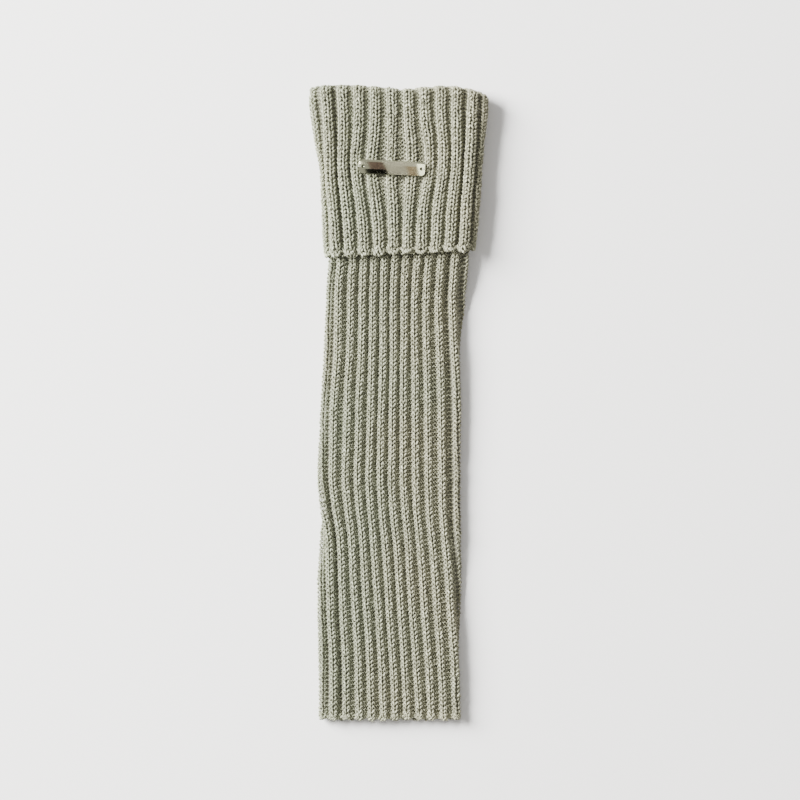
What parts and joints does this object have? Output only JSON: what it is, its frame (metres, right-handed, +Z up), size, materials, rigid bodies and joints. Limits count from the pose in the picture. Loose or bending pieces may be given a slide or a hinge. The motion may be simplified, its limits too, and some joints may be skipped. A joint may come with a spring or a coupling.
{
  "type": "rib knit leg warmer",
  "caption": "Footless rib-knit leg warmer lying flat, its top turned down into a deep flared cuff with a small bare metal plate sewn across it.",
  "frame": {"origin": "middle of the bounding box's underside, on the surface that the leg warmer lies on", "axes": "+Y along the leg from the hem to the turned top, +Z up out of the front of the flat leg, +X to the right across the front"},
  "size_m": [0.1255, 0.4452, 0.0167],
  "materials": {
    "marl_yarn": "soft, slightly hairy sage-grey marl yarn in a two-by-two rib",
    "plate_metal": "polished silver-coloured metal, bare, with eased edges"
  },
  "bodies": {
    "root": {"knitted_leg": "marl_yarn", "metal_plate": "plate_metal"}
  },
  "joints": []
}
